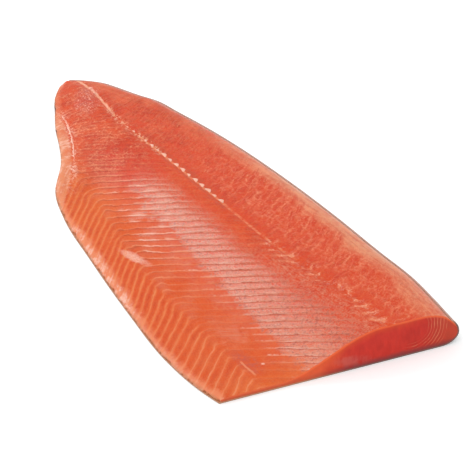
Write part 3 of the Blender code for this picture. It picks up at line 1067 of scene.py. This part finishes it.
def tail_colour(g, f, paint, colours):
    """Wavy rows and flecks over the tail's end, its white streak and pale margin, and a purple spot."""
    paint.darken(f.near_tail * (0.60 + 0.60 * f.mottle + 0.40 * f.broad + 0.25 * f.grain), TAIL_TINT)
    rows = (f.place * 1.55 + 0.30 * f.mottle + 0.16 * f.patches + 0.05 * f.grain).fraction()
    rows = g.smooth(abs(rows - 0.5), 0.20, 0.05) * g.smooth(f.patches + f.mottle, -0.6, 0.4)
    body = f.near_tail * (1 - f.dorsal * 0.6)
    paint.lay(rows * body * (0.34 + 0.25 * f.grain), colours.pale_seam)
    worms = g.smooth(abs(g.noise(f.where, 190.0, 2.0, 0.6, 0.8)), 0.20, 0.05)
    flecks = (f.curls * 0.30 + worms * 0.34) * body
    paint.lay(flecks * g.smooth(f.grain + 0.8 * f.patches, -0.5, 0.6), colours.pale_seam)
    past = f.x - STREAK_X
    off = f.y - STREAK_Y + STREAK_SLOPE * past + STREAK_CURVE * past * past + 0.0006 * f.mottle
    outside = g.smooth(off, -0.0010, -0.0030) * along(g, f.x, "tail margin")
    paint.lay(outside * (0.45 + 0.3 * f.mottle), colours.band)
    paint.lay(outside * g.smooth(f.threads + 1.2 * f.mottle, 0.0, 1.0) * 0.55, colours.white)
    ragged = along(g, f.x + 0.004 * f.grain, "streak start") * along(g, f.x, "streak end")
    core = g.smooth(abs(off + 0.0006 * f.grain), 0.0007, 0.0002) * ragged * (0.95 + 0.3 * f.grain)
    fuzz = g.smooth(abs(off), 0.0055, 0.0010) * along(g, f.x, "streak fuzz") * 0.8
    bits = g.smooth(0.6 * f.speckle + f.grain + 0.6 * f.mottle, 0.0, 0.8) * 0.65
    bits = bits + f.curls * g.smooth(f.mottle, -0.3, 0.4) * 0.40
    paint.lay(core + fuzz * bits, colours.white)
    spot = oval(g, f.x, f.y, TAIL_SPOT, 0.6 * f.mottle)
    paint.lay(spot * (0.36 + 0.40 * f.grain), colours.bruise)
    paint.lay(spot * g.smooth(f.speckle, 0.25, 0.65) * 0.60, colours.white)


def corner_colour(g, f, paint, colours):
    """A pale torn patch on the flap, and a smudge, a bruise, a pale line and a dot by the corner."""
    patch = oval(g, f.x, f.y, TORN_PATCH, 0.4 * f.mottle + 0.3 * f.grain)
    paint.lay(patch * (0.60 + 0.35 * f.speckle), colours.white)
    smudge = oval(g, f.x, f.y, SMUDGE, 0.7 * f.mottle + 0.5 * f.patches)
    paint.lay(smudge * (0.26 + 0.2 * f.streaks), colours.film_and_sheen)
    bruise = oval(g, f.x, f.y, BRUISE, 0.5 * f.mottle + 0.3 * f.grain)
    paint.lay(bruise * (0.30 + 0.40 * f.grain), colours.bruise)
    line = g.smooth(abs(f.y - CORNER_LINE_Y + 0.0006 * f.mottle), 0.0009, 0.0003)
    line = line * g.smooth(abs(f.x - CORNER_LINE_X), 0.009, 0.006)
    paint.lay(line * 0.70, colours.pale_seam)
    paint.lay(oval(g, f.x, f.y, CORNER_DOT) * 0.85, colours.white)


def flesh_finish(colours, sizes):
    """Moist orange-red flesh whose seams, film, marks and edges follow the segments; the film carries painted
    sheen and shade.
    """
    made, g, shader = new_finish("moist flesh", {"Coat Roughness": 0.18, **SOFT})
    f = flesh_fields(g, sizes)
    paint = body_colour(g, f, colours)
    for lay_marks in (film_and_sheen_colour, belly_seam_colour, back_seam_colour, edge_colour, midline_colour):
        lay_marks(g, f, paint, colours)
    tail_colour(g, f, paint, colours)
    corner_colour(g, f, paint, colours)
    g.feed(shader.inputs["Base Color"], paint.colour)
    g.feed(shader.inputs["Roughness"], 0.40 - 0.05 * f.mottle - 0.08 * f.film_and_sheen)
    g.feed(shader.inputs["Coat Weight"], 0.04 + 0.34 * (f.film_and_sheen - f.groove))
    dips = g.smooth(f.seam, 0.07, 0.0) * (0.2 + f.film_and_sheen)
    fine = (0.30 * f.streaks + 0.35 * f.speckle + 0.35 * f.grain) * (0.6 + f.film_and_sheen)
    bump(g, shader, fine - 0.45 * dips + 0.25 * f.mottle, FLESH_BUMP)
    return made


def cut_finish(colours):
    """The smooth red of the knife cut, with a painted glow along its upper edge, faint rings, a smear and a
    foot of painted shade.
    """
    made, g, shader = new_finish("cut flesh", {"Coat Weight": 0.05, "Coat Roughness": 0.15, **SOFT})
    where = g.add("ShaderNodeTexCoord", output="Object")
    _, world_y, z = g.split(where)
    y = world_y - CENTRE.y
    depth = g.attribute("depth")
    mottle = g.noise(where, 130.0, 3.0)
    fibre = g.noise(g.stretch(where, (1.0, 1.0, 0.35)), 420.0, 3.0)
    thin = g.smooth(y + 0.004 * mottle, -0.020, -0.055)
    paint = Paint(g, colours.cut)
    paint.lay(thin, colours.cut_flap)
    shade = 0.38 + 0.36 * g.smooth(y, 0.002, 0.018) + 0.40 * mottle + 0.40 * fibre
    paint.darken(shade * (1 - 0.6 * thin), CUT_TINT)
    paint.lay(g.smooth(y + 0.003 * mottle, 0.022, 0.038) * 0.45, colours.cut_back)
    ring_y = y - RING_CENTRE[0]
    ring_z = z - RING_CENTRE[1]
    ring = ((ring_y * ring_y + ring_z * ring_z) ** 0.5 + 0.0005 * mottle) / RING_PITCH
    arcs = g.smooth(abs(ring.fraction() - 0.5), 0.24, 0.06) * g.smooth(z, 0.001, 0.006)
    arcs = arcs * g.smooth(ring, 4.2, 7.0) * g.smooth(ring, 12.6, 11.2) * g.smooth(y, 0.006, 0.016)
    paint.lay(arcs * (0.22 + 0.24 * fibre + 0.20 * mottle), colours.pale_seam)
    # Painted glow along the upper edge, where light comes through the thin flesh
    paint.lay(g.smooth(depth + 0.0008 * mottle, 0.0060, 0.0) * g.smooth(y, 0.030, 0.0) * 0.50, colours.flap)
    paint.lay(g.smooth(depth + 0.0002 * mottle, 0.0018, 0.0004) * 0.75, colours.cut_rim_glow)
    paint.lay(oval(g, y, z, SMEAR, 0.9 * mottle + 0.5 * fibre) * 0.26, colours.smear)
    # Painted shade along the foot of the cut face
    foot = g.smooth(z + 0.0008 * mottle + 0.0004 * fibre, 0.0050, 0.0012)
    paint.lay(foot * (0.85 - 0.55 * thin), colours.cut_foot_shade)
    g.feed(shader.inputs["Base Color"], paint.colour)
    g.feed(shader.inputs["Roughness"], 0.36 - 0.05 * mottle)
    bump(g, shader, 0.5 * fibre + 0.3 * mottle, CUT_BUMP)
    return made


def skin_finish(colours, sizes):
    """Wet skin: dark over the back, silver below, with rows of small scales and a few dark spots."""
    made, g, shader = new_finish("wet skin", {"Coat Weight": 0.5, "Coat Roughness": 0.12})
    where = g.add("ShaderNodeTexCoord", output="Object")
    world_x, _, _ = g.split(where)
    girth, outer, up = (g.attribute(name) for name in ("girth", "outer", "up_back"))
    row = girth / (0.8 * sizes.scale)
    column = world_x / sizes.scale + (row.whole() * 0.5).fraction()
    u = column.fraction() - 0.5
    v = row.fraction() - 0.1
    scale_rim = g.smooth((u * u * 2.2 + v * v) ** 0.5, 0.62, 0.80)
    tone = g.noise(g.join(column.whole(), row.whole(), 0.0), 0.77, 0.0)
    broad = g.noise(where, 35.0, 3.0)
    paint = Paint(g, colours.skin_belly)
    paint.lay(g.smooth(girth + 0.006 * broad, 0.035, 0.085), colours.skin_side)
    paint.lay(g.smooth(up + 0.004 * broad, -0.050, -0.004), colours.skin_back)
    paint.darken(0.5 - 0.3 * tone, SCALE_TINT)
    paint.darken(scale_rim * 0.5, SCALE_RIM_TINT)
    dots = g.add("ShaderNodeTexVoronoi", {"feature": "F1"}, {"Vector": where, "Scale": 75.0})
    spots = g.smooth(dots, 0.17, 0.12) * g.smooth(g.noise(where, 40.0, 0.0), 0.35, 0.55)
    paint.lay(spots * g.smooth(up, -0.040, -0.025), colours.skin_spot)
    # Under the thick of the cut the skin's edge is its own dark colour with painted shade
    edge = g.mix(g.smooth(up, -0.110, -0.060), rgba(colours.skin_edge), rgba(colours.skin_foot_shade))
    paint.colour = g.mix(g.smooth(outer, 0.85, 1.0), edge, paint.colour)
    worn = g.smooth(g.attribute("rim") + 0.0008 * g.noise(where, 260.0, 2.0), 0.0028, 0.0008)
    paint.lay(worn * 0.85, colours.skin_rim)
    g.feed(shader.inputs["Base Color"], paint.colour)
    g.feed(shader.inputs["Roughness"], 0.30 + 0.10 * scale_rim)
    g.feed(shader.inputs["Metallic"], 0.35 * outer * g.smooth(up, -0.010, -0.050))
    bump(g, shader, (1 - scale_rim) * outer, SKIN_BUMP)
    return made


def fleck_finish(colours):
    """Glossy off-white tissue of the pin bones' ends."""
    gloss = {"Roughness": 0.30, "Coat Weight": 0.3, "Coat Roughness": 0.15}
    softness = {**SOFT, "Subsurface Weight": 0.15, "Subsurface Scale": 0.001}
    made, g, shader = new_finish("pin-bone end", {**gloss, **softness})
    tint = g.noise(g.add("ShaderNodeTexCoord", output="Object"), 420.0, 2.0)
    paint = Paint(g, colours.seam)
    paint.lay(0.5 + 0.4 * tint, colours.white)
    paint.lay(0.55, colours.white)
    g.feed(shader.inputs["Base Color"], paint.colour)
    bump(g, shader, tint, FLECK_BUMP)
    return made


def floor_finish(shade, glow):
    """A plain pale floor that glows a little, like a light table, so that shadows stay faint."""
    glowing = {"Emission Color": rgba(shade), "Emission Strength": glow}
    return new_finish("floor", {"Base Color": rgba(shade), "Roughness": 0.9, **glowing})[0]


def new_tree(name, inputs):
    """A geometry tree with a geometry in and out and the named inputs, its graph, and those inputs."""
    tree = bpy.data.node_groups.new(name, "GeometryNodeTree")
    tree.interface.new_socket("Geometry", in_out="INPUT", socket_type="NodeSocketGeometry")
    for label, kind in inputs:
        tree.interface.new_socket(label, in_out="INPUT", socket_type=kind)
    tree.interface.new_socket("Geometry", in_out="OUTPUT", socket_type="NodeSocketGeometry")
    start = tree.nodes.new("NodeGroupInput")
    graph = Graph(tree)
    return tree, graph, {socket.name: Wire(graph, socket) for socket in start.outputs if socket.name}


def applied(made, tree, values):
    """Runs the tree on the object, with its inputs set by their identifiers, and keeps the plain mesh."""
    modifier = made.modifiers.new(tree.name, "NODES")
    modifier.node_group = tree
    for item in tree.interface.items_tree:
        if item.item_type == "SOCKET" and item.in_out == "INPUT" and item.name in values:
            modifier[item.identifier] = values[item.name]
    depsgraph = bpy.context.evaluated_depsgraph_get()
    mesh = bpy.data.meshes.new_from_object(made.evaluated_get(depsgraph))
    made.modifiers.remove(modifier)
    old = made.data
    made.data = mesh
    bpy.data.meshes.remove(old)


def stored(g, name):
    return g.add("GeometryNodeInputNamedAttribute", {"data_type": "FLOAT"}, {"Name": name})


def relief_tree():
    """Lifts each segment into a crest between its seams, steeper towards the cut, roughens it and sinks the
    midline."""
    inputs = [("Ridge", "NodeSocketFloat"), ("Grain", "NodeSocketFloat"), ("Groove", "NodeSocketFloat")]
    inputs += [("Seed", "NodeSocketInt"), ("Flesh", "NodeSocketMaterial"), ("Cut", "NodeSocketMaterial")]
    tree, g, given = new_tree("segment relief", inputs)
    lift = stored(g, "lift")
    place = stored(g, "place")
    across = stored(g, "across")
    off = abs(2 * place.fraction() ** CREST_LEAN - 1)
    crest = given["Ridge"] * (1 - off ** CREST_FLATNESS) * lift * stored(g, "ridged")
    where = g.add("GeometryNodeInputPosition")
    noise = {"Vector": where, "W": given["Seed"], "Scale": GRAIN_SCALE, "Detail": 2.0}
    fine = g.add("ShaderNodeTexNoise", {"noise_dimensions": "4D"}, noise)
    rough = given["Grain"] * (2 * fine - 1) * lift
    groove = given["Groove"] * (math.e ** -((across / GROOVE_WIDTH) ** 2)) * lift
    move = g.join(0.0, 0.0, crest + rough - groove)
    moved = g.add("GeometryNodeSetPosition", None, {"Geometry": given["Geometry"], "Offset": move})
    whole = g.add("GeometryNodeRealizeInstances", None, {"Geometry": moved})
    index = g.add("GeometryNodeInputMaterialIndex")
    cut = g.add("FunctionNodeCompare", {"data_type": "INT", "operation": "EQUAL"}, {"A": index, "B": 1})
    uncut = g.add("FunctionNodeBooleanMath", {"operation": "NOT"}, {0: cut})
    for chosen, name in ((cut, "Cut"), (uncut, "Flesh")):
        values = {"Geometry": whole, "Selection": chosen, "Material": given[name]}
        whole = g.add("GeometryNodeSetMaterial", None, values)
    end = tree.nodes.new("NodeGroupOutput")
    g.feed(end.inputs["Geometry"], whole)
    return tree


def flesh_layout(mesh, sizes):
    """What the flesh's finishes and its relief are laid out by, at each point."""
    x, y, z = coordinates(mesh)
    surface = top_height(x, y)
    across = y - midline(x)
    belly = y - belly_edge(x)
    back = back_edge(x) - y
    stray = sizes.wander * (waver(x, y, STRAY_LONG) + 0.5 * waver(y, x, STRAY_SHORT))
    on_top = np.clip((z - (SKIN + GAP) - BASE_CLEAR) / BASE_FADE, 0.0, 1.0)
    shown = (np.abs(surface - z) < ON_SURFACE) * on_top
    margin = ease(belly / RELIEF_MARGIN) * ease((back - BACK_BARE) / RELIEF_MARGIN)
    steps = ((y, WALL_FROM_FLAP), (-across, WALL_FROM_MIDLINE), (x, WALL_FROM_TAIL))
    wall = math.prod(ease((value - start) / run) for value, (start, run) in steps)
    return {
        "place": (x - sweep(x, y, surface) - NOSE_START + stray) / sizes.segment,
        "across": across,
        "belly": belly,
        "back": back,
        "fold": fold_line(x) - y,
        "rim": over_point(x, RIM_ANGLE, SKIN + GAP)[0] - y,
        "depth": surface - z,
        "lift": shown * margin * nose(x),
        "ridged": RIDGE_LEAST + (1 - RIDGE_LEAST) * wall,
    }


class SALMON_OT_flesh(Operator):
    """Makes the flesh with its segments, its belly flap and its cut face"""

    bl_idname = "salmon.flesh"
    bl_label = "Flesh"

    def execute(self, context):
        sizes = context.scene.salmon_sizes
        colours = context.scene.salmon_colours
        shares = np.arange(BELLY_COLUMNS) / BELLY_COLUMNS
        belly = [partial(belly_point, share=share, ragged=sizes.ragged) for share in shares]
        back = [partial(back_point, share=share) for share in np.arange(BACK_COLUMNS) / BACK_COLUMNS]
        under = wrap(SKIN + GAP, sizes.ragged, (BASE_COLUMNS, WALL_COLUMNS, RIM_COLUMNS))
        spacing = sizes.segment / ROWS_A_SEGMENT
        shape, ring = tube(rows_to_cut(belly + back + under[::-1], spacing, True))
        cut_face(shape, ring, BELLY_COLUMNS + BACK_COLUMNS)
        mesh = finish_mesh("flesh", shape)
        write_attributes(mesh, flesh_layout(mesh, sizes))
        made = into_place("salmon_flesh", mesh)
        finishes = {"Flesh": flesh_finish(colours, sizes), "Cut": cut_finish(colours)}
        for finish in finishes.values():
            mesh.materials.append(finish)
        values = {"Ridge": sizes.ridge, "Grain": sizes.grain, "Groove": sizes.groove, "Seed": sizes.seed}
        applied(made, relief_tree(), {**values, **finishes})
        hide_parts("flesh")
        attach(made, "root")
        return {"FINISHED"}


def skin_layout(mesh):
    """What the skin's finish is laid out by: its way round the belly and back, its outside, and its rim."""
    x, y, z = coordinates(mesh)
    widest, under, over = back_radii(x)
    start = back_edge(x) - under
    low = np.clip((widest - z) / np.maximum(widest, SAME), 0.0, 1.0)
    climbed = np.where(y > start, widest * np.arccos(low) + np.maximum(z - widest, 0.0), 0.0)
    under_reach = np.clip((y - start) / np.maximum(under, SAME), 0.0, REACH_MOST)
    over_reach = np.clip((y - (back_edge(x) - over)) / over, 0.0, REACH_MOST)
    high = np.clip((z - widest) / np.maximum(loin_height(x) - widest, SAME), 0.0, 1.0)
    outside_low = (z < widest) & (y > start) & (under_reach**2 + low**2 > OUTSIDE)
    outside_high = (z >= widest) & (over_reach**2 + high**2 > OUTSIDE)
    outside = (z < BASE_SKIN * SKIN) | outside_low | outside_high
    return {
        "girth": np.minimum(y, start) - belly_edge(x) + climbed,
        "up_back": np.minimum(y - back_edge(x), 0.0) + climbed,
        "outer": outside.astype(float),
        "rim": np.where(y > start, over_point(x, RIM_ANGLE, 0.0)[1] - z, 1.0),
    }


class SALMON_OT_skin(Operator):
    """Makes the thin skin under the flesh and round the back"""

    bl_idname = "salmon.skin"
    bl_label = "Skin"

    def execute(self, context):
        sizes = context.scene.salmon_sizes
        colours = context.scene.salmon_colours
        inner = wrap(SKIN, 0.0, SKIN_COLUMNS)
        outer = wrap(TRIM, 0.0, SKIN_COLUMNS)
        shape, ring = tube(rows_to_cut(inner + outer[::-1], SKIN_ROW, False))
        for j in range(len(inner) - 1):
            shape.faces.new((ring[j], ring[j + 1], ring[-2 - j], ring[-1 - j]))
        mesh = finish_mesh("skin", shape)
        write_attributes(mesh, skin_layout(mesh))
        made = into_place("salmon_skin", mesh)
        mesh.materials.append(skin_finish(colours, sizes))
        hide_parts("skin")
        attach(made, "root")
        return {"FINISHED"}


def fleck_tree():
    """Sets a flattened pale wedge at each pin bone along a path, each with its own size and turn."""
    inputs = [("Spacing", "NodeSocketFloat"), ("Length", "NodeSocketFloat"), ("Seed", "NodeSocketInt")]
    inputs += [("Finish", "NodeSocketMaterial")]
    tree, g, given = new_tree("pin-bone ends", inputs)
    path = g.add("GeometryNodeMeshToCurve", None, {"Mesh": given["Geometry"]})
    values = {"Curve": path, "Length": given["Spacing"]}
    steps = g.add("GeometryNodeResampleCurve", {"mode": "LENGTH"}, values)
    values = {"Segments": 12, "Rings": 8, "Radius": FLECK_RADIUS}
    ball = g.add("GeometryNodeMeshUVSphere", None, values)
    x, y, z = g.split(g.add("GeometryNodeInputPosition"))
    wide = (y + (FLECK_RADIUS**2 - x * x).most(0.0) ** 0.5) * (FLECK_TAPER - x)
    place = g.join(x + FLECK_LEAN * wide, wide - FLECK_SHIFT, z * FLECK_FLATNESS * (FLECK_THIN_END - x))
    wedge = g.add("GeometryNodeSetPosition", None, {"Geometry": ball, "Position": place})
    each = {"ID": g.add("GeometryNodeInputIndex"), "Seed": given["Seed"]}
    turns = {0: FLECK_TURN_LEAST, 1: FLECK_TURN_MOST, **each}
    turn = g.add("FunctionNodeRandomValue", {"data_type": "FLOAT_VECTOR"}, turns)
    growths = {2: FLECK_LEAST, 3: FLECK_MOST, **each}
    growth = g.add("FunctionNodeRandomValue", {"data_type": "FLOAT"}, growths, output=1)
    size = growth * given["Length"] * stored(g, "size")
    size = g.join(size, size * FLECK_WIDTH, size * FLECK_HEIGHT)
    values = {"Points": steps, "Instance": wedge, "Rotation": turn, "Scale": size}
    wedges = g.add("GeometryNodeInstanceOnPoints", None, values)
    whole = g.add("GeometryNodeRealizeInstances", None, {"Geometry": wedges})
    whole = g.add("GeometryNodeSetShadeSmooth", None, {"Geometry": whole})
    whole = g.add("GeometryNodeSetMaterial", None, {"Geometry": whole, "Material": given["Finish"]})
    end = tree.nodes.new("NodeGroupOutput")
    g.feed(end.inputs["Geometry"], whole)
    return tree


class SALMON_OT_pin_bones(Operator):
    """Sets the pale ends of the pin bones along the midline"""

    bl_idname = "salmon.pin_bones"
    bl_label = "Pin-bone ends"

    def execute(self, context):
        sizes = context.scene.salmon_sizes
        colours = context.scene.salmon_colours
        x = np.linspace(FLECK_SIZES[0][0], FLECK_SIZES[-1][0], FLECK_PATH_POINTS)
        y = midline(x)
        z = top_height(x, y) - FLECK_SUNK * sizes.groove
        mesh = bpy.data.meshes.new("pin bones")
        points = np.stack([x, y, z], axis=1)
        mesh.from_pydata(points.tolist(), [(i, i + 1) for i in range(len(x) - 1)], [])
        write_attributes(mesh, {"size": np.interp(x, *zip(*FLECK_SIZES))})
        made = into_place("pin_bone_ends", mesh)
        finish = fleck_finish(colours)
        mesh.materials.append(finish)
        values = {"Spacing": sizes.fleck_pitch, "Length": sizes.fleck, "Seed": sizes.seed, "Finish": finish}
        applied(made, fleck_tree(), values)
        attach(made, "root")
        return {"FINISHED"}


def area_light(name, place, size, power):
    """A soft rectangular light that faces the slice."""
    light = bpy.data.lights.new(name, "AREA")
    light.shape = "RECTANGLE"
    light.size, light.size_y = size
    light.energy = power
    made = bpy.data.objects.new(name, light)
    bpy.context.scene.collection.objects.link(made)
    made.location = place
    made.rotation_euler = (-place).to_track_quat("-Z", "Y").to_euler()


def direction(azimuth, elevation):
    """From the aim towards a viewer. Azimuth 0 looks along +Y."""
    flat = math.cos(elevation)
    return Vector((math.sin(azimuth) * flat, -math.cos(azimuth) * flat, math.sin(elevation)))


class SALMON_OT_stage(Operator):
    """Makes the plain floor, the soft studio light and the camera"""

    bl_idname = "salmon.stage"
    bl_label = "Stage"

    def execute(self, context):
        scene = context.scene
        stage = scene.salmon_stage
        bpy.ops.mesh.primitive_plane_add(size=FLOOR_SIZE, location=(0, 0, FLOOR_Z))
        floor = context.object
        floor.name = "floor"
        floor.data.materials.append(floor_finish(scene.salmon_colours.floor, stage.glow))
        world = bpy.data.worlds.new("daylight")
        world.use_nodes = True
        sky = world.node_tree.nodes["Background"]
        sky.inputs["Color"].default_value = (1.0, 1.0, 1.0, 1.0)
        sky.inputs["Strength"].default_value = stage.daylight
        scene.world = world
        area_light("key light", KEY_PLACE, KEY_SIZE, stage.key)
        area_light("back light", BACK_LIGHT_PLACE, BACK_LIGHT_SIZE, stage.sheen)
        camera = bpy.data.objects.new("camera", bpy.data.cameras.new("camera"))
        scene.collection.objects.link(camera)
        back = direction(stage.azimuth, stage.elevation)
        camera.location = Vector(stage.aim) + back * stage.distance
        camera.rotation_euler = back.to_track_quat("Z", "Y").to_euler()
        camera.data.lens = stage.lens
        camera.data.sensor_width = SENSOR_WIDTH
        camera.data.clip_start = CLIP_START
        scene.camera = camera
        scene.view_settings.view_transform = "Standard"
        scene.view_settings.look = "None"
        return {"FINISHED"}


class SALMON_PT_panel(Panel):
    """Lists the pieces of the salmon slice and their settings"""

    bl_idname = "SALMON_PT_panel"
    bl_label = "Salmon slice"
    bl_space_type = "VIEW_3D"
    bl_region_type = "UI"
    bl_category = "Salmon"

    def draw(self, context):
        for piece in PIECES:
            self.layout.operator(piece.bl_idname)
        for name in GROUPS:
            group = getattr(context.scene, name)
            box = self.layout.box()
            for label in group.__annotations__:
                box.prop(group, label)


PIECES = (SALMON_OT_flesh, SALMON_OT_skin, SALMON_OT_pin_bones, SALMON_OT_stage)
GROUPS = {"salmon_sizes": SalmonSizes, "salmon_colours": SalmonColours, "salmon_stage": SalmonStage}


def register():
    for made in (*GROUPS.values(), *PIECES, SALMON_PT_panel):
        bpy.utils.register_class(made)
    for name, group in GROUPS.items():
        setattr(bpy.types.Scene, name, PointerProperty(type=group))


def unregister():
    for name in GROUPS:
        delattr(bpy.types.Scene, name)
    for made in (SALMON_PT_panel, *PIECES, *GROUPS.values()):
        bpy.utils.unregister_class(made)


def main():
    register()
    bpy.ops.salmon.flesh()
    bpy.ops.salmon.skin()
    bpy.ops.salmon.pin_bones()
    bpy.ops.salmon.stage()


if __name__ == "__main__":
    main()
